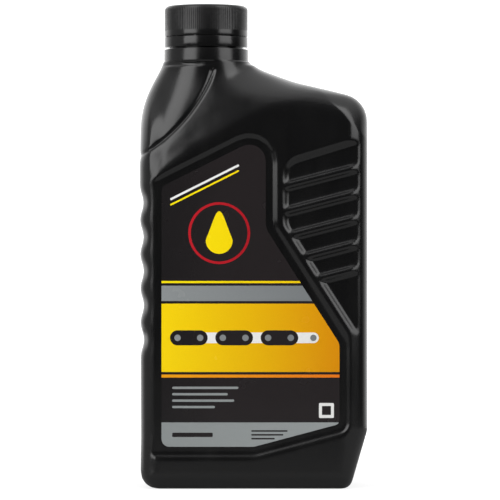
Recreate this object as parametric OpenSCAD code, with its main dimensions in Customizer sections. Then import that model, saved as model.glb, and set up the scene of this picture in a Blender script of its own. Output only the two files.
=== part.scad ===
// Flat one-quart oil bottle with an offset neck, a screw cap, its tamper band and a front label.
// The front faces -Y, the neck is on the -X side, and the base stands on Z = 0.

/* [Body] */
// Overall width, from the finger scallops to the right side
body_w = 107.4; // [100:0.1:116]
// Overall depth, from the front face to the back face
body_d = 57; // [52:0.5:64]
// Height at which the right side would meet the sloping shoulder
shoulder_z = 183; // [170:0.5:200]
// Slope of the right shoulder in degrees
shoulder_slope = 13.8; // [11:0.1:15]
// Thickness of the blown wall
wall = 1.2; // [0.9:0.1:1.5]
// Rounding of the front and back edges along the sides
side_edge_r = 11; // [9:0.5:13]
// Rounding of the front and back edges along the base
base_edge_r = 7; // [5:0.5:9]
// How far the right side draws in towards the base
foot_taper_w = 8.3; // [6:0.1:10]
// Height at which the right side starts to draw in
foot_taper_h = 27.3; // [24:0.1:32]
// Depth of the hollow under the base
push_up = 1.4; // [1:0.1:1.8]

/* [Neck] */
// Distance of the neck's axis from the middle of the bottle, towards the left
neck_offset = 22.4; // [20:0.1:25]
// Height of the collar's flat top above the right shoulder
collar_rise = 24.2; // [23:0.1:27]
// Depth of the thread between the neck and the cap
thread_h = 1.15; // [1:0.05:1.3]
// Thickness of the neck's wall
neck_wall = 2.3; // [1.8:0.1:3]

/* [Cap] */
// Diameter over the knurl
cap_d = 39.6; // [36:0.1:43]
// Height of the cap
cap_h = 14.6; // [13:0.1:17]
// Thickness of the cap's top
cap_top = 1.6; // [1.2:0.1:2]
// Thickness of the cap's skirt, knurl included
skirt_t = 1.05; // [0.9:0.05:1.3]
// Number of ribs in the knurl
knurl_count = 120; // [90:2:132]
// Height of the tamper band
band_h = 4.8; // [4:0.1:6]
// Number of bridges between the band and the cap
bridge_count = 12; // [6:1:18]
// Thickness of the foam liner
liner_t = 1; // [0.7:0.1:1.5]

/* [Front panel] */
// Depth of the label recess
recess_depth = 1.2; // [0.8:0.1:1.6]
// Height of the recess's level lower edge
panel_low_z = 15.7; // [14:0.1:18]
// Distance from the recess to the right side
panel_right_margin = 9.1; // [8:0.1:10]
// Slant of the recess's top edge in degrees
panel_slant = 26.6; // [25:0.1:28]
// Distance from the recess edge to the label
label_margin = 4.3; // [3:0.1:6]
// Thickness of the label film
label_t = 0.2; // [0.1:0.05:0.4]

/* [Grips] */
// Width of the ribbed grip, from its left border to the right side
grip_w = 39.9; // [36:0.1:42]
// Width of the ridge between the grip and the label recess
ridge_w = 3.7; // [3:0.1:5]
// Depth of the grip pockets
pocket_depth = 2.2; // [1.6:0.1:2.6]
// Number of raised ribs in the grip
rib_count = 5; // [3:1:5]
// Distance between the ribs
rib_pitch = 11.85; // [11:0.05:12.5]
// Width of a rib at its foot
rib_w = 4.4; // [3.8:0.1:5]
// Slope of the ribs in degrees
rib_slope = 14.4; // [12:0.1:17]
// Number of finger scallops on the left side
scallop_count = 5; // [3:1:6]
// Distance between the scallops
scallop_pitch = 16.1; // [14:0.1:17]
// Depth of the scallops
scallop_depth = 1.7; // [1:0.1:2.2]
// Width of the groove on the left shoulder
groove_w = 1.7; // [1.2:0.1:2.2]
// Depth of the groove on the left shoulder
groove_depth = 0.7; // [0.4:0.1:0.8]

/* [Hidden] */
$fn = 96;
plastic_black = [0.09, 0.09, 0.1];
label_black = [0.14, 0.13, 0.13];
foam_white = [0.9, 0.9, 0.88];

// Cap, band and neck, from the cap inwards
fit_gap = 0.3;
cap_r = cap_d / 2;
skirt_inner_r = cap_r - skirt_t;
neck_r = skirt_inner_r - fit_gap - thread_h;
bore_r = neck_r - neck_wall;
collar_r = cap_r + 0.2;

// The moulded body ends inside the collar, which laps over it
half_w = body_w / 2;
half_d = body_d / 2;
neck_x = -neck_offset;
collar_step = 0.4;
collar_lap = 2;
collar_h = 5.7;
collar_edge = 0.6;
rim_edge = 0.6;
loft_neck_r = collar_r - collar_step;
collar_inner_r = loft_neck_r - wall - 2 * collar_step;
collar_top_z = shoulder_z + collar_rise;
collar_foot_z = collar_top_z - collar_h;
loft_top_z = collar_foot_z + collar_lap;

// The front outline runs up each side from the base to the neck, as corners with their radii
left_draft = 0.8;
left_shoulder_drop = 2;
foot_left_r = 8;
left_shoulder_r = 46;
neck_left_r = 6;
foot_right_r = 5;
taper_r = 8;
shoulder_r = 13;
neck_right_r = 9;
left_neck_x = neck_x - loft_neck_r;
right_neck_x = neck_x + loft_neck_r;
shoulder_foot_z = shoulder_z + (half_w - right_neck_x) * tan(shoulder_slope);
LEFT = [[0, 0], [left_draft - half_w, 0], [-half_w, shoulder_z - left_shoulder_drop],
        [left_neck_x, collar_foot_z + collar_lap / 3], [left_neck_x, loft_top_z]];
LEFT_R = [0, foot_left_r, left_shoulder_r, neck_left_r, 0];
RIGHT = [[0, 0], [half_w - foot_taper_w, 0], [half_w, foot_taper_h], [half_w, shoulder_z],
         [right_neck_x, shoulder_foot_z], [right_neck_x, loft_top_z]];
RIGHT_R = [0, foot_right_r, taper_r, shoulder_r, neck_right_r, 0];
LEFT_SIDE = 1;
RIGHT_SIDE = -1;
least_corner_r = 0.5;

// The flat faces lean towards the neck above a slanted crease
crease_at = [neck_x + 5.4, shoulder_z - 18.6];
lean_blend = 12;
lean_reach = 38;
neck_blend_h = 17.5;
base_blend_h = 20;
least_flat = 0.4;
lean_rate = (half_d - loft_neck_r) / (lean_at([neck_x, collar_foot_z]) - lean_blend / 2);

// Finger scallops on the left side
scallop_top_z = shoulder_z - 40.6;
scallop_low_z = scallop_top_z - scallop_count * scallop_pitch;
scallop_fade_from = 25;
scallop_fade_over = 40;

// Label recess: corners of its outline in the front view, counter-clockwise from the lower left
panel_foot_run = 43.8;
panel_foot_slant = 14.9;
panel_flank = 57.4;
panel_waist_drop = 59.5;
panel_left_drop = 40;
panel_left_in = 3.6;
recess_bevel = 1;
cut_over = 1;
panel_left_x = -half_w - cut_over;
panel_right_x = half_w - panel_right_margin;
panel_bend_x = panel_right_x - panel_foot_run;
panel_waist_x = half_w - grip_w - ridge_w;
panel_waist_z = shoulder_z - panel_waist_drop;
panel_foot_z = panel_low_z + panel_foot_run * tan(panel_foot_slant);
panel_hip_z = panel_waist_z - (panel_right_x - panel_waist_x) * tan(panel_flank);
panel_peak_z = shoulder_z - panel_left_drop + (panel_waist_x + half_w - panel_left_in) * tan(panel_slant);
function panel_corners(left_x) =
    [[left_x, panel_low_z], [panel_bend_x, panel_low_z], [panel_right_x, panel_foot_z],
     [panel_right_x, panel_hip_z], [panel_waist_x, panel_waist_z], [panel_waist_x, panel_peak_z],
     [left_x, panel_peak_z - (panel_waist_x - left_x) * tan(panel_slant)]];
PANEL = panel_corners(panel_left_x);
PANEL_R = [1, 10, 5, 10, 8, 12, 1];
panel_arc_steps = 5;

// Label: the recess outline moved inwards, with its own left edge
label_left_in = 10.7;
LABEL = panel_corners(label_left_in - half_w - label_margin);
LABEL_R = [8, 10, 7, 10, 6, 12, 8];
label_arc_steps = 8;

// Grip pockets: corners of their outline, which runs out over the right edge
grip_top_drop = 29;
grip_top_slope = 17;
grip_bevel = 2.6;
grip_left_x = half_w - grip_w;
grip_low_z = panel_waist_z;
grip_top_z = shoulder_z - grip_top_drop;
grip_out_x = half_w + side_edge_r;
grip_run = grip_out_x - grip_left_x;
GRIP = [[grip_left_x, grip_low_z], [grip_out_x, grip_low_z - grip_run * tan(panel_flank)],
        [grip_out_x, grip_top_z + grip_run * tan(grip_top_slope)], [grip_left_x, grip_top_z]];
GRIP_R = [6, 1, 1, 9];

// Ribs of the grip, placed at its right end
rib_top_drop = 32;
rib_right_in = 3.9;
rib_sink = 0.4;
rib_h = pocket_depth - rib_sink;
rib_crest_w = rib_w - 2.6;

// Groove on the left shoulder: an arc in the front view
groove_r = 73.2;
groove_at = [neck_x - 65.6, collar_top_z + 13.8];
groove_end_z = collar_foot_z - 4.5;
groove_facets = 180;

// Hollow of the base, inside the standing ring
base_ring = 5;
base_corner_r = 8;
base_left_x = left_draft - half_w + foot_left_r + base_ring;
base_right_x = half_w - foot_taper_w - foot_right_r - base_ring;
base_half_d = half_d - base_edge_r - base_ring;
BASE = [[base_left_x, -base_half_d], [base_right_x, -base_half_d], [base_right_x, base_half_d],
        [base_left_x, base_half_d]];
BASE_R = [base_corner_r, base_corner_r, base_corner_r, base_corner_r];

// Band, cap and liner, one above the other on the collar
band_rise = 1;
band_gap = 0.4;
band_z = collar_top_z + band_rise;
cap_z = band_z + band_h + band_gap;
rim_z = cap_z + cap_h - cap_top - liner_t;
lip_r = neck_r + fit_gap;
lip_h = 1.2;
bead_r = skirt_inner_r - fit_gap;
bead_h = 0.4;
bead_z = band_z + lip_h + fit_gap;
bridge_w = 1;
bridge_t = 0.6;
bridge_root = 0.5;
moulded_edge = 0.25;
cap_bead_h = 2.6;
cap_edge_r = 2.2;
cap_arc_step = 15;
knurl_depth = 0.35;
knurl_sink = 0.15;
knurl_lap = 0.3;
knurl_root_r = cap_r - knurl_depth;
knurl_tip_r = cap_r - 0.05;
knurl_h = cap_h - cap_bead_h - cap_edge_r;

// How finely the moulded skin is divided
edge_rings = 8;
cross_points = 5;
rows_per_scallop = 6;
corner_rows = 4;

function mix(a, b, t) = a + (b - a) * t;
function ease(t) = let (c = max(0, min(1, t))) c * c * (3 - 2 * c);
function unit(v) = v / norm(v);
function turned(v, a) = [v[0] * cos(a) - v[1] * sin(a), v[0] * sin(a) + v[1] * cos(a)];

// Inward normal of the edge from p to q
function inward(p, q, side) = let (d = unit(q - p)) side * [d[1], -d[0]];

// Point at fraction f of the rounded corner c, with the whole outline moved inwards by e
function arc_point(p, c, q, r, side, f, e) =
    let (n1 = inward(p, c, side), n2 = inward(c, q, side))
    let (bend = atan2(cross(n1, n2), n1 * n2))
    let (hand = bend * side < 0 ? 1 : -1)
    let (rho = hand > 0 ? max(r - e, least_corner_r) : r + e)
    let (mitre = (n1 + n2) / (1 + n1 * n2))
    c + mitre * (e + hand * rho) - hand * rho * turned(n1, bend * f);

// Point at station u of one side: odd whole numbers start a corner, even ones a straight
function side_point(pts, radii, side, u, e) =
    let (piece = min(floor(u), 2 * len(pts) - 4), f = u - piece, k = ceil(piece / 2), last = len(pts) - 1)
    piece % 2 == 1
        ? arc_point(pts[k - 1], pts[k], pts[k + 1], radii[k], side, f, e)
        : let (from = arc_point(pts[k - 1], pts[k], pts[k + 1], radii[k], side, 1, e))
          let (to = k + 1 == last
               ? pts[last] + e * inward(pts[k], pts[last], side)
               : arc_point(pts[k], pts[k + 1], pts[k + 2], radii[k + 1], side, 0, e))
          mix(from, to, f);

// Closed outline of rounded corners, counter-clockwise, moved inwards by e
function closed_outline(pts, radii, e, steps) =
    let (n = len(pts))
    [for (i = [0:n - 1], j = [0:steps])
        arc_point(pts[(i + n - 1) % n], pts[i], pts[(i + 1) % n], radii[i], RIGHT_SIDE, j / steps, e)];

// Half depth of the body and rounding of its edge at a point of the front view
function lean_at(p) = (p[1] - crease_at[1]) * cos(panel_slant) - (p[0] - crease_at[0]) * sin(panel_slant);
function leaned(v) = v <= 0 ? 0 : v < lean_blend ? v * v / (2 * lean_blend) : v - lean_blend / 2;
function neck_share(p) = ease(1 - (collar_foot_z - p[1]) / neck_blend_h);
function half_depth(p) = mix(half_d - lean_rate * leaned(lean_at(p)), loft_neck_r, neck_share(p));
function edge_r(p) =
    let (body_r = mix(base_edge_r, side_edge_r, ease(p[1] / base_blend_h)))
    let (share = max(ease(lean_at(p) / lean_reach), neck_share(p)))
    min(mix(body_r, loft_neck_r, share), half_depth(p) - least_flat);

// Depth of the scallops at height z, fading out round the edge at angle a
function scallop(z, a) =
    z < scallop_low_z || z > scallop_top_z ? 0
    : scallop_depth * (1 - cos(360 * (z - scallop_low_z) / scallop_pitch)) / 2
      * (1 - ease((a - scallop_fade_from) / scallop_fade_over));

// Stations up each side; both sides have the same number of rows
function spread(from, rows) = [for (i = [0:rows - 1]) from + i / rows];
left_low = side_point(LEFT, LEFT_R, LEFT_SIDE, 2, 0)[1];
left_high = side_point(LEFT, LEFT_R, LEFT_SIDE, 3, 0)[1];
function left_station(z) = 2 + (z - left_low) / (left_high - left_low);
scallop_rows = scallop_count * rows_per_scallop;
LEFT_STATIONS = concat(
    spread(1, corner_rows),
    [for (i = [0:2]) left_station(mix(left_low, scallop_low_z, i / 3))],
    [for (i = [0:scallop_rows]) left_station(mix(scallop_low_z, scallop_top_z, i / scallop_rows))],
    [for (i = [1:2]) left_station(mix(scallop_top_z, left_high, i / 3))],
    spread(3, corner_rows),
    spread(4, 2),
    spread(5, 2),
    [6, 7]);
row_count = len(LEFT_STATIONS);
RIGHT_LOW = concat(spread(1, corner_rows), spread(2, 3), spread(3, 2));
RIGHT_HIGH = concat(spread(5, corner_rows + 2), spread(6, 5), spread(7, corner_rows), spread(8, 2), [9]);
RIGHT_STATIONS = concat(RIGHT_LOW, spread(4, row_count - len(RIGHT_LOW) - len(RIGHT_HIGH)), RIGHT_HIGH);

// Point of the moulded skin at ring k of an edge, where inset moves the skin inwards
function ring_angle(k) = 90 * k / edge_rings;
function skin_point(pts, radii, side, u, k, inset) =
    let (p = side_point(pts, radii, side, u, 0), a = ring_angle(k))
    let (r = edge_r(p) - inset, dip = side == LEFT_SIDE ? scallop(p[1], a) : 0)
    let (q = side_point(pts, radii, side, u, inset + r * (1 - cos(a)) + dip * cos(a)))
    [q[0], inset + r * (1 - sin(a)) + dip * sin(a) - half_depth(q), q[1]];
function flat_point(l, r, t, inset) =
    let (q = mix([l[0], l[2]], [r[0], r[2]], t))
    [q[0], inset - half_depth(q), q[1]];

// Solid inside the moulded skin, lofted between both sides, for a skin moved inwards by inset
module moulded_form(inset, rise = 0) {
    rings = edge_rings + 1;
    base_cols = cross_points + 1;
    left = [for (u = LEFT_STATIONS)
        [for (k = [0:edge_rings]) skin_point(LEFT, LEFT_R, LEFT_SIDE, u, k, inset)]];
    right = [for (u = RIGHT_STATIONS)
        [for (k = [0:edge_rings]) skin_point(RIGHT, RIGHT_R, RIGHT_SIDE, u, k, inset)]];
    base = [for (c = [1:cross_points]) [for (k = [0:edge_rings])
        mix(left[0][k], right[0][k], c / base_cols)]];
    last = row_count - 1;
    // The rim of the front half, from the left of the neck down, along the base and up the right side
    path = concat([for (i = [last:-1:0]) left[i]], base, right);
    stations = len(path);
    raised = [for (i = [0:stations - 1]) i == 0 || i == stations - 1 ? rise : 0];
    rim = [for (i = [0:stations - 1], k = [0:edge_rings]) path[i][k] + [0, 0, raised[i]]];
    middle = [for (i = [1:last], c = [1:cross_points])
        flat_point(left[i][edge_rings], right[i][edge_rings], c / base_cols, inset)
        + [0, 0, i == last ? rise : 0]];
    front = concat(rim, middle);
    count = len(front);
    back = [for (p = front) [p[0], -p[1], p[2]]];
    function at_rim(i, k) = i * rings + k;
    function at_middle(i, c) =
        c == 0 ? at_rim(last - i, edge_rings)
        : c == base_cols ? at_rim(stations - 1 - last + i, edge_rings)
        : i == 0 ? at_rim(last + c, edge_rings)
        : stations * rings + (i - 1) * cross_points + c - 1;
    quads = concat(
        [for (i = [0:stations - 2], k = [0:edge_rings - 1])
            [at_rim(i, k), at_rim(i, k + 1), at_rim(i + 1, k + 1), at_rim(i + 1, k)]],
        [for (i = [0:last - 1], c = [0:cross_points])
            [at_middle(i, c), at_middle(i + 1, c), at_middle(i + 1, c + 1), at_middle(i, c + 1)]]);
    halves = [for (q = quads) each [[q[0], q[1], q[2]], [q[0], q[2], q[3]]]];
    sides = [for (i = [0:stations - 2]) each [
        [at_rim(i, 0), at_rim(i + 1, 0), count + at_rim(i + 1, 0)],
        [at_rim(i, 0), count + at_rim(i + 1, 0), count + at_rim(i, 0)]]];
    top_front = concat(
        [for (k = [0:edge_rings]) at_rim(0, k)],
        [for (c = [1:cross_points]) at_middle(last, c)],
        [for (k = [edge_rings:-1:0]) at_rim(stations - 1, k)]);
    top = concat([for (i = top_front) count + i], [for (i = [len(top_front) - 1:-1:0]) top_front[i]]);
    polyhedron(
        points = concat(front, back),
        faces = concat(halves, [for (f = halves) [count + f[2], count + f[1], count + f[0]]], sides, [top]),
        convexity = 6);
}

// Prism between an outline moved inwards by e0 and, further out by t, the same one moved by e1
module bevelled_block(pts, radii, e0, e1, t) {
    low = closed_outline(pts, radii, e0, panel_arc_steps);
    high = closed_outline(pts, radii, e1, panel_arc_steps);
    n = len(low);
    polyhedron(
        points = concat([for (p = low) [p[0], p[1], 0]], [for (p = high) [p[0], p[1], t]]),
        faces = concat(
            [[for (i = [0:n - 1]) i], [for (i = [n - 1:-1:0]) n + i]],
            [for (i = [0:n - 1]) [i, n + i, n + (i + 1) % n, (i + 1) % n]]),
        convexity = 4);
}

// Stands a flat shape up against the front face, with its z = 0 at the given depth below that face
module on_front(depth) {
    translate([0, depth - half_d, 0])
        rotate([90, 0, 0])
            children();
}

module both_faces() {
    children();
    mirror([0, 1, 0])
        children();
}

// Recess for the label; grow sinks and widens it, for the inside of the wall
module label_recess(grow) {
    on_front(recess_depth + grow)
        bevelled_block(PANEL, PANEL_R, recess_bevel / 2 - grow, -recess_bevel / 2 - grow - cut_over,
                       recess_depth + grow + cut_over);
}

// One raised rib of the grip, with sloping flanks
module grip_rib(i) {
    translate([half_w - rib_right_in, shoulder_z - rib_top_drop - i * rib_pitch])
        rotate([0, 0, rib_slope])
            rotate([90, 0, -90])
                linear_extrude(2 * half_w, center = true)
                    polygon([
                        [-rib_w / 2, 0], [-rib_crest_w / 2, rib_h],
                        [rib_crest_w / 2, rib_h], [rib_w / 2, 0]]);
}

// Grip pockets on the right of the front face
module grip_pockets(grow, ribs) {
    on_front(pocket_depth + grow)
        difference() {
            bevelled_block(GRIP, GRIP_R, grip_bevel - grow, -cut_over - grow, pocket_depth + grow + cut_over);
            for (i = [0:ribs - 1])
                grip_rib(i);
        }
}

// Groove that sweeps from the neck over the left shoulder and round the left side
module shoulder_groove() {
    difference() {
        translate([groove_at[0], 0, groove_at[1]])
            rotate([90, 0, 0])
                difference() {
                    cylinder(h = body_d, r = groove_r + groove_w / 2, center = true, $fn = groove_facets);
                    cylinder(h = 2 * body_d, r = groove_r - groove_w / 2, center = true, $fn = groove_facets);
                }
        moulded_form(groove_depth);
        translate([-body_w, -body_d, groove_end_z])
            cube([2 * body_w, 2 * body_d, body_w]);
    }
}

// Hollow under the base, which leaves a flat ring to stand on
module base_hollow(grow) {
    translate([0, 0, push_up + grow])
        mirror([0, 0, 1])
            bevelled_block(BASE, BASE_R, push_up - grow, -cut_over - grow, push_up + grow + cut_over);
}

module bottle_shell() {
    resize([body_w, body_d, 0])
        difference() {
            moulded_form(0);
            both_faces() {
                label_recess(0);
                grip_pockets(0, rib_count);
            }
            shoulder_groove();
            base_hollow(0);
            difference() {
                moulded_form(wall, cut_over);
                both_faces() {
                    label_recess(wall);
                    grip_pockets(wall, 0);
                }
                base_hollow(wall);
            }
        }
}

// Revolved shape on the neck's axis
module on_neck(z) {
    translate([neck_x, 0, z])
        rotate_extrude()
            children();
}

// Collar, neck and the bead that holds the tamper band
module neck_finish() {
    on_neck(0)
        polygon([
            [collar_inner_r, collar_foot_z], [collar_r, collar_foot_z],
            [collar_r, collar_top_z - collar_edge], [collar_r - collar_edge, collar_top_z],
            [neck_r, collar_top_z], [neck_r, bead_z], [bead_r, bead_z + thread_h],
            [bead_r, bead_z + thread_h + bead_h], [neck_r, bead_z + 2 * thread_h + bead_h],
            [neck_r, rim_z - rim_edge], [neck_r - rim_edge, rim_z], [bore_r, rim_z],
            [bore_r, collar_top_z - wall], [collar_inner_r, collar_top_z - wall - collar_inner_r + bore_r]]);
}

module bottle() {
    color(plastic_black)
        union() {
            bottle_shell();
            neck_finish();
        }
}

// Star-shaped outline of the knurl
function knurl_points() =
    [for (i = [0:2 * knurl_count - 1])
        let (a = 180 * i / knurl_count, r = i % 2 == 0 ? knurl_tip_r : knurl_root_r - knurl_sink)
        r * [cos(a), sin(a)]];

module cap() {
    color(plastic_black) {
        on_neck(cap_z)
            polygon(concat(
                [[skirt_inner_r, 0], [cap_r - moulded_edge, 0], [cap_r, moulded_edge], [cap_r, cap_bead_h],
                 [knurl_root_r, cap_bead_h + moulded_edge]],
                [for (a = [0:cap_arc_step:90])
                    [knurl_root_r, cap_h] + cap_edge_r * [cos(a) - 1, sin(a) - 1]],
                [[0, cap_h], [0, cap_h - cap_top], [skirt_inner_r, cap_h - cap_top]]));
        translate([neck_x, 0, cap_z + cap_bead_h - knurl_lap])
            linear_extrude(knurl_h + 2 * knurl_lap)
                difference() {
                    polygon(knurl_points());
                    circle(r = skirt_inner_r + knurl_sink);
                }
    }
}

module tamper_band() {
    color(plastic_black) {
        on_neck(band_z)
            polygon([
                [lip_r, 0], [cap_r - moulded_edge, 0], [cap_r, moulded_edge], [cap_r, band_h - moulded_edge],
                [cap_r - moulded_edge, band_h], [skirt_inner_r, band_h],
                [skirt_inner_r, lip_h + skirt_inner_r - lip_r], [lip_r, lip_h]]);
        for (i = [0:bridge_count - 1])
            translate([neck_x, 0, band_z + band_h - bridge_root])
                rotate([0, 0, 360 * (i + 0.5) / bridge_count])
                    translate([skirt_inner_r + moulded_edge, -bridge_w / 2, 0])
                        cube([bridge_t, bridge_w, bridge_root + band_gap]);
    }
}

module cap_liner() {
    color(foam_white)
        translate([neck_x, 0, rim_z])
            cylinder(h = liner_t, r = skirt_inner_r - fit_gap);
}

module label() {
    color(label_black)
        on_front(recess_depth)
            linear_extrude(label_t)
                polygon(closed_outline(LABEL, LABEL_R, label_margin, label_arc_steps));
}

bottle();
cap();
tamper_band();
cap_liner();
label();
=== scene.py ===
import math

import bmesh
import bpy
from mathutils import Matrix, Vector


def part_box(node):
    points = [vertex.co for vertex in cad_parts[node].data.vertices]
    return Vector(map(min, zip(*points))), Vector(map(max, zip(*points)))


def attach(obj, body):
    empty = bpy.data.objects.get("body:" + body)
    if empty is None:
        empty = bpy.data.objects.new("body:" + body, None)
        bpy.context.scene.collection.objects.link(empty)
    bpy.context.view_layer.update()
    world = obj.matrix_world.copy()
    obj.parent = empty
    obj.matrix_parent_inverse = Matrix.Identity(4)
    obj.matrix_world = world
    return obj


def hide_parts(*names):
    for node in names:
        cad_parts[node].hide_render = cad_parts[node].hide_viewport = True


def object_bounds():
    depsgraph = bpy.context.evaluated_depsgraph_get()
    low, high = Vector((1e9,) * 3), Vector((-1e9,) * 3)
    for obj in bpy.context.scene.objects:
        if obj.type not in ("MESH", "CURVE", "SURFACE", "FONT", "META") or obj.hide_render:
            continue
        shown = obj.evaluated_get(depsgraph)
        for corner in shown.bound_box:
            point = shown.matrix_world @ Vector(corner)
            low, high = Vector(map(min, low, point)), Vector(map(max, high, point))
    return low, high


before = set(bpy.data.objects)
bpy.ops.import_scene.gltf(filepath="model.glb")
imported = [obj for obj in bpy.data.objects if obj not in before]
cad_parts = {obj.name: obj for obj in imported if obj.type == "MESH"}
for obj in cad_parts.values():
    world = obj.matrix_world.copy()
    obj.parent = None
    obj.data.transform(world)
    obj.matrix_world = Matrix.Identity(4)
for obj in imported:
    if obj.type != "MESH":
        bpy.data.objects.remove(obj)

# Bottle body: one blow-moulded shell of black polyethylene. The parison is blown against a cold mould,
# so every edge comes out rounded and the two mould halves leave a parting line round its middle.
# The solid's outer skin is drawn again as one soft sheet, and its inner wall follows it.
mm = 0.001
solid_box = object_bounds()
cap_low, cap_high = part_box("cap")
band_low, band_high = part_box("tamper_band")
neck = Vector(((cap_low.x + cap_high.x) / 2, (cap_low.y + cap_high.y) / 2, 0))
collar_top = band_low.z - 1 * mm
collar_foot = collar_top - 5.7 * mm
skin_top = collar_foot - 0.3 * mm
skin_pitch = 0.55 * mm
stub_height = 6 * mm


def solid_copy(node):
    """Copy of a CAD node with its loose triangles merged."""
    made = bmesh.new()
    made.from_mesh(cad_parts[node].data)
    bmesh.ops.remove_doubles(made, verts=made.verts, dist=0.001 * mm)
    return made


def cut_above(made, height):
    """Takes away everything above a level plane."""
    bmesh.ops.bisect_plane(
        made, geom=made.verts[:] + made.edges[:] + made.faces[:],
        plane_co=(0, 0, height), plane_no=(0, 0, 1), clear_outer=True)


def linked(start):
    """All vertices that edges join to the first one."""
    found = {start}
    waiting = [start]
    while waiting:
        near = {edge.other_vert(vert) for vert in waiting for edge in vert.link_edges}
        waiting = list(near - found)
        found |= near
    return found


def reworked(made, kind, **settings):
    """Puts a mesh through one of Blender's modifiers."""
    work = bpy.data.objects.new("work", bpy.data.meshes.new("work"))
    bpy.context.scene.collection.objects.link(work)
    made.to_mesh(work.data)
    modifier = work.modifiers.new(kind, kind)
    for name, value in settings.items():
        setattr(modifier, name, value)
    made.clear()
    made.from_object(work, bpy.context.evaluated_depsgraph_get())
    bpy.data.objects.remove(work)


def ease(share):
    """Smooth step from 0 to 1."""
    share = max(0.0, min(1.0, share))
    return share * share * (3 - 2 * share)


skin = solid_copy("bottle")
cut_above(skin, skin_top)
inner_wall = skin.copy()
outside = linked(min(skin.verts, key=lambda vert: vert.co.z))
bmesh.ops.delete(skin, geom=[vert for vert in skin.verts if vert not in outside], context="VERTS")
inner_outside = linked(min(inner_wall.verts, key=lambda vert: vert.co.z))
bmesh.ops.delete(inner_wall, geom=list(inner_outside), context="VERTS")

# A stub above the skin is filled, so that the remesh sees a closed body, and is cut off again afterwards
stub = bmesh.ops.extrude_edge_only(skin, edges=[edge for edge in skin.edges if edge.is_boundary])["geom"]
stub_top = [part for part in stub if isinstance(part, bmesh.types.BMVert)]
bmesh.ops.translate(skin, verts=stub_top, vec=(0, 0, stub_height))
bmesh.ops.holes_fill(skin, edges=[edge for edge in skin.edges if edge.is_boundary], sides=0)
reworked(skin, "REMESH", mode="VOXEL", voxel_size=skin_pitch, adaptivity=0)

# The blown wall is softest on the shoulder, above the slanted crease over the label
crease = Vector((-17 * mm, 0, 164.4 * mm))
crease_degrees = 26.6
crease_slope = math.radians(crease_degrees)
crease_up = Vector((-math.sin(crease_slope), 0, math.cos(crease_slope)))
edge_passes = 10
shoulder_passes = 150
soft_from = 3 * mm
soft_over = 14 * mm
soft = {}
for vert in skin.verts:
    above = (vert.co - crease).dot(crease_up) - soft_from
    soft[vert] = edge_passes + shoulder_passes * ease(above / soft_over)
for turn in range(edge_passes + shoulder_passes):
    bmesh.ops.smooth_vert(
        skin, verts=[vert for vert, passes in soft.items() if passes > turn], factor=0.5,
        use_axis_x=True, use_axis_y=True, use_axis_z=True)

# Above a crease that rises in a flat arch, both faces lean back towards the neck, and the upper right corner
# falls away like a ball. The solid's straight crease and broad bend are exchanged for these in both walls,
# and the inner one keeps a little more room there. The left edge of the shoulder is flatter in front and
# rounds off more tightly, which is drawn by making it deeper towards the side
lean_depth = solid_box[1].y - 19.6 * mm
arch_x = -8.6 * mm
arch_z = 169.1 * mm
arch_slope = 0.525
arch_sag = 3.9
arch_rise = 0.885
arch_bend = 4 * mm
arch_reach = 35.8 * mm
solid_bend = 12 * mm
solid_reach = 35.6 * mm
neck_blend = 17.5 * mm
inner_room = 1.2 * mm
room_low = 135 * mm
room_over = 12 * mm
corner_at = Vector((42.6 * mm, 0, 174.7 * mm))
corner_out = Vector((0.72, 0, 0.69))
corner_fall = 0.5
corner_blend = 1 * mm
square_from = -42 * mm
square_scale = 20 * mm
square_width = 5.9 * mm
square_round = 2 * mm
square_top = 186 * mm
square_top_over = 13 * mm
square_low = 140 * mm
square_low_over = 24 * mm


def lean(height, bend, reach):
    """Depth of a lean that starts with a bend and reaches the neck's depth at its end."""
    bent = height * height / (2 * bend) if height < bend else height - bend / 2
    return lean_depth * bent / (reach - bend / 2) if height > 0 else 0


for made, room in ((skin, 0), (inner_wall, inner_room)):
    for vert in made.verts:
        along = vert.co.x - arch_x
        arch = arch_z + arch_slope * along - arch_sag * along * along
        arch_lean = lean((vert.co.z - arch) * arch_rise, arch_bend, arch_reach)
        solid_lean = lean((vert.co - crease).dot(crease_up), solid_bend, solid_reach)
        below_neck = 1 - ease(1 - (collar_foot - vert.co.z) / neck_blend)
        past = max(0, (vert.co - corner_at).dot(corner_out))
        fall = corner_fall * past * past / (past + corner_blend)
        fall += (arch_lean - solid_lean + room * ease((vert.co.z - room_low) / room_over)) * below_neck
        vert.co.y *= 1 - fall / (solid_box[1].y - solid_lean)
        outward = max(0, square_from - vert.co.x)
        over = min(max(0, outward - square_width), square_round)
        outward = min(outward, square_width) + over - over * over / (2 * square_round)
        square = ease((square_top - vert.co.z) / square_top_over)
        square *= ease((vert.co.z - square_low) / square_low_over)
        vert.co.y *= 1 + square * (outward / square_scale) ** 2

# On the right the neck flares into the shoulder in a wide fillet. Its bearings are in degrees, counted from
# the front or the back
flare = 2.2 * mm
flare_start = 23 * mm
flare_reach = 24 * mm
flare_low = 182 * mm
flare_low_over = 12 * mm
flare_top_over = 4.5 * mm
flare_bearing = 35
flare_bearing_over = 40
for vert in skin.verts:
    out = vert.co - neck
    bearing = math.degrees(math.atan2(out.x, abs(out.y)))
    near = 1 - ease((math.hypot(out.x, out.y) - flare_start) / flare_reach)
    tall = ease((vert.co.z - flare_low) / flare_low_over) * ease((skin_top - vert.co.z) / flare_top_over)
    vert.co.z += flare * near * tall * ease((bearing - flare_bearing) / flare_bearing_over)

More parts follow.
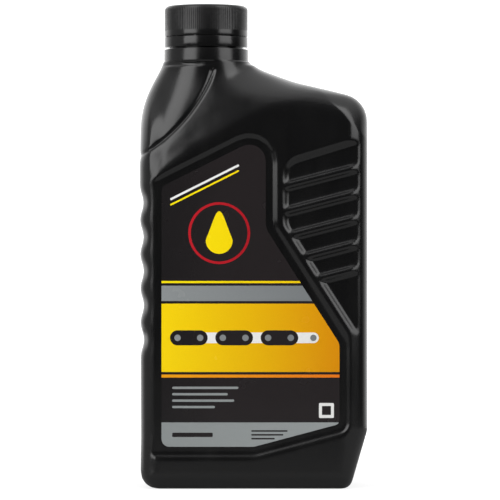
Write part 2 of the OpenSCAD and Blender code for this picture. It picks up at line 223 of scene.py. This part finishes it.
# Groove that sweeps from the neck over the left shoulder and round the left side
groove_centre = Vector((neck.x - 65.6 * mm, 0, collar_top + 13.8 * mm))
groove_radius = 73.2 * mm
groove_end = collar_foot - 2.9 * mm
groove_end_over = 2.2 * mm
groove_depth = 0.85 * mm
groove_side_loss = 0.6
side_from = 0.5
side_over = 0.4
groove_width = 0.75 * mm
groove_widening = 0.35 * mm
widening_low = 180 * mm
widening_over = 16 * mm
groove_right = neck.x + 10 * mm
groove_seen = 4 * mm
skin.normal_update()
for vert in skin.verts:
    out = vert.co - groove_centre
    off = math.hypot(out.x, out.z) - groove_radius
    if vert.co.x > groove_right or abs(off) > groove_seen or vert.co.z > collar_foot:
        continue
    width = groove_width + groove_widening * ease((vert.co.z - widening_low) / widening_over)
    end = ease((groove_end - vert.co.z) / groove_end_over)
    side = 1 - groove_side_loss * ease((-vert.normal.x - side_from) / side_over)
    vert.co -= vert.normal * (groove_depth * end * side * math.exp(-(off / width) ** 2))

# Under the collar the shoulder runs straight out of it on the right, and is undercut on the left of the
# front. Here bearings are counted from the front, positive to the right
collar_reach = 8 * mm
growth = 0.4 * mm
growth_height = 7 * mm
growth_over = 35
growth_end = 160
growth_end_over = 40
undercut = 0.65 * mm
undercut_height = 1.9 * mm
undercut_start = 0.35
undercut_return = 1.1 * mm
undercut_from = -80
undercut_over = 25
undercut_end = 8
undercut_end_over = 20
for vert in skin.verts:
    below = collar_foot - vert.co.z
    if below > collar_reach:
        continue
    out = vert.co - neck
    radius = math.hypot(out.x, out.y)
    bearing = math.degrees(math.atan2(out.x, -out.y))
    right = ease(bearing / growth_over) * ease((growth_end - bearing) / growth_end_over)
    left = ease((bearing - undercut_from) / undercut_over)
    left *= ease((undercut_end - bearing) / undercut_end_over)
    grown = growth * right * ease(1 - below / growth_height)
    dip = undercut_start + (1 - undercut_start) * below / undercut_height
    if below > undercut_height:
        dip = 1 - ease((below - undercut_height) / undercut_return)
    grown -= undercut * left * dip
    vert.co = (neck.x + out.x * (1 + grown / radius), neck.y + out.y * (1 + grown / radius), vert.co.z)

cut_above(skin, skin_top)
reworked(skin, "DECIMATE", decimate_type="COLLAPSE", ratio=0.32)

# Neck: the finish at the top of the same moulding, pressed hard against a core, so its edges are crisp.
# A collar carries the closure, a bead holds the tamper band down, and a raised right-hand thread draws
# the cap onto the flat rim.
rim_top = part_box("bottle")[1].z
collar_radius = (band_high.x - band_low.x) / 2 + 0.2 * mm
neck_radius = 17.3 * mm
bore_radius = 15 * mm
shoulder_bore = 17.6 * mm
shoulder_bore_top = collar_top - 1.2 * mm
collar_hold = 0.25 * mm
rim_drop = 0.3 * mm
rim_chamfer = 0.6 * mm
bead_radius = 18.45 * mm
bead_foot = band_low.z + 1.5 * mm
bead_rise = bead_radius - neck_radius
bead_top = bead_foot + bead_rise + 0.4 * mm
moulded_edge = 0.12 * mm
thread_pitch = 4.23 * mm
thread_foot = cap_low.z + 1.9 * mm
thread_turns = 1.75
thread_crest = 18.35 * mm
thread_edge = 0.1 * mm
thread_root = neck_radius - 0.3 * mm
run_out = 0.08
turn_steps = 128


def turned(made, profile, steps, rounding):
    """Turns a profile of radius and height points round the neck's axis and rounds its corners."""
    chain = [made.verts.new((neck.x + radius, neck.y, height)) for radius, height in profile]
    edges = [made.edges.new(pair) for pair in zip(chain, chain[1:])]
    bmesh.ops.spin(
        made, geom=chain + edges, cent=neck, axis=(0, 0, 1), angle=math.tau, steps=steps, use_merge=True)
    bmesh.ops.remove_doubles(made, verts=made.verts, dist=0.001 * mm)
    bmesh.ops.recalc_face_normals(made, faces=made.faces)
    corners = [edge for edge in made.edges
               if len(edge.link_faces) == 2 and edge.calc_face_angle() > math.radians(15)]
    bmesh.ops.bevel(made, geom=corners, offset=rounding, affect="EDGES", segments=3, profile=0.5, material=-1)


def threaded(made, profile, foot, turns, steps, root):
    """Sweeps a closed ridge up a right-hand helix, running out into its wall at both ends."""
    ring = [made.verts.new((neck.x + radius, neck.y, foot + height)) for radius, height in profile]
    edges = [made.edges.new(pair) for pair in zip(ring, ring[1:] + ring[:1])]
    bmesh.ops.spin(made, geom=ring + edges, cent=neck, axis=(0, 0, 1), angle=math.tau * turns,
                   dvec=(0, 0, thread_pitch / steps), steps=round(turns * steps))
    bmesh.ops.holes_fill(made, edges=[edge for edge in made.edges if edge.is_boundary], sides=0)
    middle = sum(height for radius, height in profile) / len(profile)
    for vert in made.verts:
        out = vert.co - neck
        radius = math.hypot(out.x, out.y)
        lap = round(((vert.co.z - foot - middle) / thread_pitch) - math.atan2(out.y, out.x) / math.tau)
        share = (lap + math.atan2(out.y, out.x) / math.tau) / turns
        shown = ease(share * turns / run_out) * ease((1 - share) * turns / run_out)
        kept = (root + (radius - root) * shown) / radius
        vert.co = (neck.x + out.x * kept, neck.y + out.y * kept, vert.co.z)


def joined(made, other):
    """Adds another mesh to this one."""
    mesh = bpy.data.meshes.new("part")
    other.to_mesh(mesh)
    other.free()
    made.from_mesh(mesh)
    bpy.data.meshes.remove(mesh)


finish = bmesh.new()
turned(finish, [
    (collar_radius, collar_foot), (collar_radius, collar_foot + collar_hold), (collar_radius, collar_top),
    (neck_radius, collar_top), (neck_radius, bead_foot), (bead_radius, bead_foot + bead_rise),
    (bead_radius, bead_top), (neck_radius, bead_top + bead_rise), (neck_radius, rim_top - rim_drop),
    (neck_radius - rim_chamfer, rim_top), (bore_radius, rim_top), (bore_radius, shoulder_bore_top),
    (shoulder_bore, shoulder_bore_top - shoulder_bore + bore_radius), (shoulder_bore, collar_foot)],
    turn_steps, moulded_edge)
thread = bmesh.new()
threaded(thread, [
    (thread_root, -1.1 * mm), (neck_radius, -1.0 * mm), (thread_crest - thread_edge, -0.5 * mm),
    (thread_crest, -0.3 * mm), (thread_crest, 0.3 * mm), (thread_crest - thread_edge, 0.5 * mm),
    (neck_radius, 1.0 * mm), (thread_root, 1.1 * mm)],
    thread_foot, thread_turns, turn_steps, thread_root)
bmesh.ops.recalc_face_normals(thread, faces=thread.faces)
joined(skin, inner_wall)
joined(skin, finish)


def open_loop(made, low, high, near, far):
    """Boundary edges between two heights and two distances from the neck's axis."""
    def between(vert):
        return low < vert.co.z < high and near < (vert.co.xy - neck.xy).length < far

    return [edge for edge in made.edges if edge.is_boundary and all(between(vert) for vert in edge.verts)]


seam_low = skin_top - 0.1 * mm
seam_high = collar_foot + 0.1 * mm
outer_seam = (19 * mm, 21 * mm)
inner_seam = (17 * mm, 19 * mm)
bmesh.ops.bridge_loops(skin, edges=open_loop(skin, seam_low, seam_high, *outer_seam))
bmesh.ops.bridge_loops(skin, edges=open_loop(skin, seam_low, seam_high, *inner_seam))
joined(skin, thread)


def piece(name, made, body, slot, *materials):
    """Smooth-shaded object of a finished mesh, riding on a body and standing for its slot's CAD node."""
    mesh = bpy.data.meshes.new(name)
    made.to_mesh(mesh)
    made.free()
    mesh.shade_smooth()
    mesh.set_sharp_from_angle(angle=math.radians(40))
    for material in materials:
        mesh.materials.append(material)
    shown = bpy.data.objects.new(name, mesh)
    bpy.context.scene.collection.objects.link(shown)
    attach(shown, body)
    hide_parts(slot)


def linear(hex_colour):
    """Linear RGBA of an sRGB hex colour."""
    parts = [int(hex_colour[i:i + 2], 16) / 255 for i in (1, 3, 5)]
    return [c / 12.92 if c <= 0.04045 else ((c + 0.055) / 1.055) ** 2.4 for c in parts] + [1]


def node(tree, kind, inputs=None, **settings):
    """Adds a node with its settings, and fills its inputs with values or with other nodes' outputs."""
    made = tree.nodes.new(kind)
    for name, value in settings.items():
        setattr(made, name, value)
    for name, value in (inputs or {}).items():
        if isinstance(value, bpy.types.NodeSocket):
            tree.links.new(value, made.inputs[name])
        else:
            made.inputs[name].default_value = value
    return made


def polyethylene(name, grain_size, grain_height, gloss, parting_line):
    """Black polyethylene from a mould: a deep black with a waxy gloss, a fine blasted grain that breaks up
    the edges of reflections, and slow changes in gloss where the wall cooled unevenly. The grain is drawn
    coarser than the real one."""
    material = bpy.data.materials.new(name)
    material.use_nodes = True
    tree = material.node_tree
    place = node(tree, "ShaderNodeTexCoord").outputs["Object"]
    grain = node(tree, "ShaderNodeTexNoise", {"Vector": place, "Scale": 1 / grain_size, "Detail": 3})
    flow = node(tree, "ShaderNodeMapping", {"Vector": place, "Scale": (1, 1, 0.3)})
    cooling = node(tree, "ShaderNodeTexNoise", {
        "Vector": flow.outputs["Vector"], "Scale": 1 / (9 * mm), "Detail": 4}).outputs["Fac"]
    rough = node(tree, "ShaderNodeMapRange", {
        "Value": cooling, "From Min": 0.3, "From Max": 0.7, "To Min": gloss - 0.03, "To Max": gloss + 0.04})
    colour = node(tree, "ShaderNodeMix", {
        "Factor": cooling, 6: linear("#0c0c0d"), 7: linear("#121212")}, data_type="RGBA")
    bump = node(tree, "ShaderNodeBump", {
        "Height": grain.outputs["Fac"], "Strength": 0.5, "Distance": grain_height})
    if parting_line:
        across = node(tree, "ShaderNodeSeparateXYZ", {"Vector": place}).outputs["Y"]
        from_line = node(tree, "ShaderNodeMath", {0: across}, operation="ABSOLUTE").outputs["Value"]
        ridge = node(tree, "ShaderNodeMapRange", {
            "Value": from_line, "From Min": 0, "From Max": 0.35 * mm, "To Min": 1, "To Max": 0},
            interpolation_type="SMOOTHSTEP")
        bump = node(tree, "ShaderNodeBump", {
            "Height": ridge.outputs["Result"], "Strength": 0.6, "Distance": 0.12 * mm,
            "Normal": bump.outputs["Normal"]})
    shader = tree.nodes["Principled BSDF"]
    shader.inputs["IOR"].default_value = 1.53
    tree.links.new(colour.outputs[2], shader.inputs["Base Color"])
    tree.links.new(rough.outputs["Result"], shader.inputs["Roughness"])
    tree.links.new(bump.outputs["Normal"], shader.inputs["Normal"])
    return material


blown = polyethylene("Blow-moulded polyethylene", 0.5 * mm, 0.012 * mm, 0.22, True)
piece("bottle_moulding", skin, "bottle", "bottle", blown)

# Tamper band: the ring that the cap leaves on the neck, injection moulded in one shot with the cap.
# Its inner lip catches under the bead, and twelve thin bridges join it to the cap until it is first opened.
band_radius = (band_high.x - band_low.x) / 2
lip_radius = 17.6 * mm
skirt_radius = 18.75 * mm
band_height = 4.8 * mm
lip_top = band_low.z + 1.2 * mm
lip_slope_top = band_low.z + 2.35 * mm
bridge_count = 12
bridge_at = 19.3 * mm
bridge_depth = 0.6 * mm
bridge_width = 1.0 * mm
bridge_sink = 0.5 * mm
band_top = band_low.z + band_height
ring = bmesh.new()
turned(ring, [
    (lip_radius, band_low.z), (band_radius, band_low.z), (band_radius, band_top), (skirt_radius, band_top),
    (skirt_radius, lip_slope_top), (lip_radius, lip_top), (lip_radius, band_low.z)],
    turn_steps, moulded_edge)
bridge_height = band_high.z - band_top + bridge_sink
bridge_middle = neck + Vector((0, 0, (band_high.z + band_top - bridge_sink) / 2))
for i in range(bridge_count):
    bridge = bmesh.ops.create_cube(ring, size=1)["verts"]
    bmesh.ops.scale(ring, verts=bridge, vec=(bridge_depth, bridge_width, bridge_height))
    bmesh.ops.translate(ring, verts=bridge, vec=(bridge_at, 0, 0))
    swing = Matrix.Rotation(math.tau * (i + 0.5) / bridge_count, 3, "Z")
    bmesh.ops.rotate(ring, verts=bridge, matrix=swing, cent=(0, 0, 0))
    bmesh.ops.translate(ring, verts=bridge, vec=bridge_middle)
injected = polyethylene("Injection-moulded polyethylene", 0.35 * mm, 0.004 * mm, 0.17, False)
piece("band_ring", ring, "bottle", "tamper_band", injected)

# Cap liner: a disc of foamed white polyethylene, punched from sheet and pressed into the cap.
# The rim of the neck leaves a shallow ring in its underside.
liner_low, liner_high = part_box("cap_liner")
liner_radius = (liner_high.x - liner_low.x) / 2
rim_print = 0.12 * mm
print_edge = 0.2 * mm
punched_edge = 0.1 * mm
disc = bmesh.new()
turned(disc, [
    (0, liner_low.z), (bore_radius - print_edge, liner_low.z), (bore_radius, liner_low.z + rim_print),
    (neck_radius, liner_low.z + rim_print), (neck_radius + print_edge, liner_low.z),
    (liner_radius, liner_low.z), (liner_radius, liner_high.z), (0, liner_high.z)], turn_steps, punched_edge)


def foam(name):
    """Foamed polyethylene: white, dull and slightly pitted, with closed cells about a third of a millimetre
    wide."""
    material = bpy.data.materials.new(name)
    material.use_nodes = True
    tree = material.node_tree
    place = node(tree, "ShaderNodeTexCoord").outputs["Object"]
    cells = node(tree, "ShaderNodeTexVoronoi", {
        "Vector": place, "Scale": 1 / (0.35 * mm)}).outputs["Distance"]
    colour = node(tree, "ShaderNodeMix", {
        "Factor": cells, 6: linear("#f0efea"), 7: linear("#d9d8d2")}, data_type="RGBA")
    bump = node(tree, "ShaderNodeBump", {
        "Height": cells, "Strength": 0.6, "Distance": 0.05 * mm}, invert=True)
    shader = tree.nodes["Principled BSDF"]
    shader.inputs["Roughness"].default_value = 0.75
    tree.links.new(colour.outputs[2], shader.inputs["Base Color"])
    tree.links.new(bump.outputs["Normal"], shader.inputs["Normal"])
    return material


piece("liner_disc", disc, "liner", "cap_liner", foam("Foamed polyethylene"))

# Cap: one injection-moulded screw cap with a fine knurl all round, a plain bead at its foot and an inner
# thread that runs between the turns of the neck's. The gate leaves a small dimple in the middle of its top.
cap_radius = (cap_high.x - cap_low.x) / 2
cap_top = cap_high.z
knurl_count = 120
knurl_steps = 8
knurl_depth = 0.3 * mm
knurl_shape = (1, 0.16, 0, 0, 0)
knurl_radius = cap_radius - 0.05 * mm
knurl_foot = cap_low.z + 2.6 * mm
knurl_rise = 0.2 * mm
knurl_inside = skirt_radius + 0.3 * mm
bead_slope = 0.35 * mm
edge_radius = 2.2 * mm
edge_foot = cap_top - edge_radius
knurl_top = edge_foot + 1.1 * mm
knurl_fade = 1.2 * mm
gate_radius = 1.2 * mm
gate_edge = 1.6 * mm
gate_floor = cap_top - 0.3 * mm
top_inside = liner_high.z
arc_steps = 8
inner_turns = 1.25
inner_crest = 17.65 * mm
inner_root = skirt_radius + 0.2 * mm
cover = bmesh.new()
turned(cover, [
    (0, top_inside), (skirt_radius, top_inside), (skirt_radius, cap_low.z), (cap_radius, cap_low.z),
    (cap_radius, knurl_foot - bead_slope), (knurl_radius, knurl_foot),
    (knurl_radius, knurl_foot + knurl_rise), (knurl_radius, edge_foot - 1 * mm),
    (knurl_radius, edge_foot - 0.5 * mm)]
    + [(knurl_radius - edge_radius * (1 - math.cos(turn)), edge_foot + edge_radius * math.sin(turn))
       for turn in (math.pi / 2 * i / arc_steps for i in range(arc_steps + 1))]
    + [(gate_edge, cap_top), (gate_radius, gate_floor), (0, gate_floor)],
    knurl_count * knurl_steps, moulded_edge)
for vert in cover.verts:
    out = vert.co - neck
    radius = math.hypot(out.x, out.y)
    shown = ease((vert.co.z - knurl_foot) / knurl_rise) * ease((knurl_top - vert.co.z) / knurl_fade)
    if radius > knurl_inside and shown > 0:
        from_groove = abs((math.atan2(out.y, out.x) / math.tau * knurl_count) % 1 - 0.5)
        kept = 1 - knurl_depth * knurl_shape[round(from_groove * knurl_steps)] * shown / radius
        vert.co = (neck.x + out.x * kept, neck.y + out.y * kept, vert.co.z)
inner_thread = bmesh.new()
threaded(inner_thread, [
    (inner_root, -0.95 * mm), (skirt_radius, -0.85 * mm), (inner_crest + thread_edge, -0.4 * mm),
    (inner_crest, -0.2 * mm), (inner_crest, 0.2 * mm), (inner_crest + thread_edge, 0.4 * mm),
    (skirt_radius, 0.85 * mm), (inner_root, 0.95 * mm)],
    thread_foot + thread_pitch / 2, inner_turns, turn_steps, inner_root)
bmesh.ops.recalc_face_normals(inner_thread, faces=inner_thread.faces)
joined(cover, inner_thread)
piece("screw_cap", cover, "cap", "cap", injected)

# Label: one printed film, die-cut to the recess and stuck on its floor. Its print is plain: a black ground
# with a grey foot, an amber field with a chain of links, a grey stripe, a drop in a ring, a small white
# frame, and a few rules and bars.
label_low, label_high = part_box("label")
film = solid_copy("label")
bmesh.ops.dissolve_limit(film, angle_limit=math.radians(1), verts=film.verts, edges=film.edges)
GROUND, AMBER, GREY, PALE, YELLOW, RED, ORANGE, WHITE = range(8)
ink_layer = 0.01 * mm


def stripe(made, low, high, ink):
    """Prints a level stripe over the label's whole width."""
    for height in (low, high):
        bmesh.ops.bisect_plane(
            made, geom=made.verts[:] + made.edges[:] + made.faces[:],
            plane_co=(0, 0, height), plane_no=(0, 0, 1))
    for face in made.faces:
        if low < face.calc_center_median().z < high:
            face.material_index = ink


def bar(made, place, width, height, rounding, layer, ink, slope=0):
    """Prints a bar with rounded corners, a hair above the layer under it, and gives its vertices."""
    shape = bmesh.new()
    bmesh.ops.create_grid(shape, x_segments=1, y_segments=1, size=0.5)
    bmesh.ops.scale(shape, verts=shape.verts, vec=(width, height, 1))
    bmesh.ops.bevel(
        shape, geom=shape.verts, offset=rounding, affect="VERTICES", segments=10, profile=0.5, material=-1)
    bmesh.ops.remove_doubles(shape, verts=shape.verts, dist=0.001 * mm)
    raised = bmesh.ops.extrude_face_region(shape, geom=shape.faces[:])["geom"]
    top = [part for part in raised if isinstance(part, bmesh.types.BMVert)]
    bmesh.ops.translate(shape, verts=top, vec=(0, 0, layer * ink_layer))
    bmesh.ops.recalc_face_normals(shape, faces=shape.faces)
    stand = Matrix.Rotation(-math.radians(slope), 3, "Y") @ Matrix.Rotation(math.pi / 2, 3, "X")
    bmesh.ops.rotate(shape, verts=shape.verts, matrix=stand, cent=(0, 0, 0))
    bmesh.ops.translate(shape, verts=shape.verts, vec=(place[0], label_low.y, place[1]))
    for face in shape.faces:
        face.material_index = ink
    before = len(made.verts)
    joined(made, shape)
    made.verts.ensure_lookup_table()
    return made.verts[before:]


stripe(film, label_low.z - 1 * mm, 31.4 * mm, PALE)
stripe(film, 52.4 * mm, 53.8 * mm, ORANGE)
stripe(film, 55 * mm, 87 * mm, AMBER)
stripe(film, 88.2 * mm, 95.4 * mm, GREY)
stripe(film, 96.6 * mm, 97.6 * mm, YELLOW)

link_pitch = 10.6 * mm
link_count = 6
link_start = Vector((-35.5 * mm, 71 * mm))
for i in range(link_count):
    middle = link_start + Vector(((i + 0.5) * link_pitch, 0))
    width, height, layer, link_ink = ((17.6, 7, 4, GROUND), (15.6, 5, 2, WHITE))[i % 2]
    bar(film, middle, width * mm, height * mm, height * mm / 2, layer, link_ink)
for i in range(link_count + 1):
    bar(film, link_start + Vector((i * link_pitch, 0)), 3 * mm, 3 * mm, 1.5 * mm, 6, GREY)

drop_at = Vector((-16 * mm, 120 * mm))
ring_radius = 14.5 * mm
ring_inside = 13.3 * mm
drop_radius = 6.3 * mm
drop_taper = 0.25
drop_tip = 7.4 * mm
bar(film, drop_at, 2 * ring_radius, 2 * ring_radius, ring_radius, 2, RED)
bar(film, drop_at, 2 * ring_inside, 2 * ring_inside, ring_inside, 4, GROUND)
drop_foot = drop_at - Vector((0, 3.4 * mm))
for vert in bar(film, drop_foot, 2 * drop_radius, 2 * drop_radius, drop_radius, 6, YELLOW):
    rise = max(0, (vert.co.z - drop_foot.y) / drop_radius)
    vert.co.x = drop_foot.x + (vert.co.x - drop_foot.x) * (1 - drop_taper * rise)
    vert.co.z += drop_tip * rise ** 3

bar(film, (-22.8 * mm, 143.8 * mm), 36 * mm, 1 * mm, 0.5 * mm, 2, WHITE, slope=crease_degrees)
bar(film, (-22.8 * mm, 141.2 * mm), 36 * mm, 0.8 * mm, 0.4 * mm, 2, YELLOW, slope=crease_degrees)
for height, width in ((47.6, 31), (44.6, 26), (41.6, 29), (38.6, 20)):
    bar(film, ((width / 2 - 38) * mm, height * mm), width * mm, 1.1 * mm, 0.5 * mm, 2, PALE)
mark_at = Vector((34.2 * mm, 37 * mm))
bar(film, mark_at, 7 * mm, 7 * mm, 0.5 * mm, 2, WHITE)
bar(film, mark_at, 4.2 * mm, 4.2 * mm, 0.3 * mm, 4, GROUND)
bar(film, (-28.5 * mm, 25.6 * mm), 19 * mm, 2 * mm, 0.5 * mm, 2, GROUND)
for height, width in ((27.4, 17), (25.6, 15), (23.8, 11)):
    bar(film, ((width / 2 - 1) * mm, height * mm), width * mm, 0.7 * mm, 0.3 * mm, 2, GROUND)


def ink(name, start_colour, end_colour, start, end):
    """Ink under a thin gloss film: a colour that runs from one shade to another across the label, a faint
    dot grain from the press, and a soft sheen that is uneven where the film was smoothed down. The dots
    are drawn coarser than the press's."""
    material = bpy.data.materials.new(name)
    material.use_nodes = True
    tree = material.node_tree
    place = node(tree, "ShaderNodeTexCoord").outputs["Object"]
    across = node(tree, "ShaderNodeSeparateXYZ", {"Vector": place}).outputs["X"]
    share = node(tree, "ShaderNodeMapRange", {
        "Value": across, "From Min": start, "From Max": end}).outputs["Result"]
    dots = node(tree, "ShaderNodeTexNoise", {
        "Vector": place, "Scale": 1 / (0.4 * mm), "Detail": 1}).outputs["Fac"]
    shade = node(tree, "ShaderNodeMix", {
        "Factor": share, 6: linear(start_colour), 7: linear(end_colour)}, data_type="RGBA")
    density = node(tree, "ShaderNodeMapRange", {
        "Value": dots, "To Min": 0.95, "To Max": 1.05}).outputs["Result"]
    colour = node(tree, "ShaderNodeHueSaturation", {"Color": shade.outputs[2], "Value": density})
    smoothing = node(tree, "ShaderNodeTexNoise", {
        "Vector": place, "Scale": 1 / (12 * mm), "Detail": 2}).outputs["Fac"]
    rough = node(tree, "ShaderNodeMapRange", {"Value": smoothing, "To Min": 0.22, "To Max": 0.3})
    bump = node(tree, "ShaderNodeBump", {"Height": smoothing, "Strength": 0.1, "Distance": 0.05 * mm})
    shader = tree.nodes["Principled BSDF"]
    shader.inputs["IOR"].default_value = 1.49
    tree.links.new(colour.outputs["Color"], shader.inputs["Base Color"])
    tree.links.new(rough.outputs["Result"], shader.inputs["Roughness"])
    tree.links.new(bump.outputs["Normal"], shader.inputs["Normal"])
    return material


inks = [
    ink("Black ink under film", "#1c1a1b", "#242021", label_low.x, label_low.x + 30 * mm),
    ink("Amber ink under film", "#fbd80c", "#d98c08", label_low.x, label_high.x),
    ink("Grey ink under film", "#8d9192", "#74787a", label_low.x, label_high.x),
    ink("Pale grey ink under film", "#8c9191", "#949999", label_low.x, label_high.x),
    ink("Yellow ink under film", "#fbe60b", "#f6c80c", label_low.x, label_high.x),
    ink("Red ink under film", "#c4202b", "#a81a24", label_low.x, 0),
    ink("Orange ink under film", "#f2a013", "#e8761a", label_low.x, label_high.x),
    ink("White ink under film", "#f0f0ee", "#e6e6e4", label_low.x, label_high.x)]
piece("label_film", film, "bottle", "label", *inks)

# Stage: a sheet of white paper that the bottle stands on, two tall softboxes in front of it to the left and
# right, a fill high in front that no reflection shows, and a white wall of light behind. The front of the
# room is dark, and the paper is dim in reflections, because the bottle is black and glossy.
paper_radius = 0.4
paper_clear = 0.02 * mm
paper_mesh = bpy.data.meshes.new("paper")
sheet = bmesh.new()
bmesh.ops.create_circle(sheet, cap_ends=True, segments=96, radius=paper_radius)
sheet.to_mesh(paper_mesh)
sheet.free()
paper = bpy.data.materials.new("White paper")
paper.use_nodes = True
tree = paper.node_tree
rays = node(tree, "ShaderNodeLightPath").outputs
away = node(tree, "ShaderNodeVectorMath", {
    0: node(tree, "ShaderNodeTexCoord").outputs["Object"]}, operation="LENGTH").outputs["Value"]
direct = node(tree, "ShaderNodeMath", {
    0: rays["Is Camera Ray"], 1: rays["Is Transmission Ray"]}, operation="MAXIMUM").outputs["Value"]
rising = node(tree, "ShaderNodeMapRange", {
    "Value": away, "From Min": 0.15, "From Max": paper_radius, "To Min": 1, "To Max": 1.3}).outputs["Result"]
seen = node(tree, "ShaderNodeMath", {0: direct, 1: rising}, operation="MULTIPLY").outputs["Value"]
mirrored = node(tree, "ShaderNodeMath", {
    0: rays["Is Glossy Ray"], 1: 0.12}, operation="MULTIPLY").outputs["Value"]
glow = node(tree, "ShaderNodeMath", {0: seen, 1: mirrored}, operation="MAXIMUM").outputs["Value"]
shader = tree.nodes["Principled BSDF"]
shader.inputs["Base Color"].default_value = linear("#7c7c7c")
shader.inputs["Roughness"].default_value = 0.9
shader.inputs["Specular IOR Level"].default_value = 0
shader.inputs["Emission Color"].default_value = linear("#e9e9e9")
tree.links.new(glow, shader.inputs["Emission Strength"])
paper_mesh.materials.append(paper)
floor = bpy.data.objects.new("paper", paper_mesh)
floor.location.z = -paper_clear
bpy.context.scene.collection.objects.link(floor)

world = bpy.data.worlds.new("Studio")
bpy.context.scene.world = world
world.use_nodes = True
tree = world.node_tree
way = node(tree, "ShaderNodeSeparateXYZ", {
    "Vector": node(tree, "ShaderNodeTexCoord").outputs["Generated"]}).outputs
wall = node(tree, "ShaderNodeMapRange", {
    "Value": way["Y"], "From Min": 0.2, "From Max": 0.85, "To Min": 0.02, "To Max": 1.65}).outputs["Result"]
ceiling = node(tree, "ShaderNodeMapRange", {
    "Value": way["Z"], "From Min": 0.22, "From Max": 0.8, "To Min": 0, "To Max": 0.85}).outputs["Result"]
overhead = node(tree, "ShaderNodeMapRange", {
    "Value": way["Y"], "From Min": -0.7, "From Max": -0.15, "To Min": 0.1, "To Max": 1}).outputs["Result"]
dome = node(tree, "ShaderNodeMath", {0: ceiling, 1: overhead}, operation="MULTIPLY").outputs["Value"]
left_side = node(tree, "ShaderNodeMapRange", {
    "Value": way["X"], "From Min": -0.8, "From Max": -0.94, "To Min": 0.02, "To Max": 0.35}).outputs["Result"]
walls = node(tree, "ShaderNodeMath", {0: wall, 1: left_side}, operation="MAXIMUM").outputs["Value"]
room_light = node(tree, "ShaderNodeMath", {0: walls, 1: dome}, operation="MAXIMUM").outputs["Value"]
rays = node(tree, "ShaderNodeLightPath").outputs
direct = node(tree, "ShaderNodeMath", {
    0: rays["Is Camera Ray"], 1: rays["Is Transmission Ray"]}, operation="MAXIMUM").outputs["Value"]
white = node(tree, "ShaderNodeMath", {0: room_light, 1: direct}, operation="MAXIMUM").outputs["Value"]
backdrop = tree.nodes["Background"]
backdrop.inputs["Color"].default_value = linear("#ffffff")
tree.links.new(white, backdrop.inputs["Strength"])


def softbox(name, place, aim, width, tall, brightness):
    """A rectangular softbox of an even brightness, turned towards a point."""
    light = bpy.data.lights.new(name, "AREA")
    light.shape = "RECTANGLE"
    light.size = width
    light.size_y = tall
    light.energy = brightness * math.pi * width * tall
    lamp = bpy.data.objects.new(name, light)
    lamp.location = place
    lamp.rotation_euler = (Vector(aim) - Vector(place)).to_track_quat("-Z", "Y").to_euler()
    bpy.context.scene.collection.objects.link(lamp)
    return lamp


softbox("left_box", (-0.8, -0.8, 1.15), (0, 0, 1.15), 0.75, 2.0, 3.0)
softbox("right_box", (0.9, -0.63, 1.15), (0, 0, 1.15), 0.75, 2.0, 2.5)
softbox("front_box", (0, -0.9, 1.55), (0, 0, 0.1), 1.2, 0.7, 7.2).visible_glossy = False

# Camera: level with the middle of the bottle, far off with a long lens, so that it shows hardly any
# perspective
camera_data = bpy.data.cameras.new("photo")
camera_data.lens = 265
camera_data.sensor_width = 36
camera = bpy.data.objects.new("photo", camera_data)
camera.location = (-1.58 * mm, -1.75, 112.1 * mm)
camera.rotation_euler = (math.radians(90), 0, 0)
bpy.context.scene.collection.objects.link(camera)
bpy.context.scene.camera = camera
bpy.context.scene.view_settings.view_transform = "Standard"
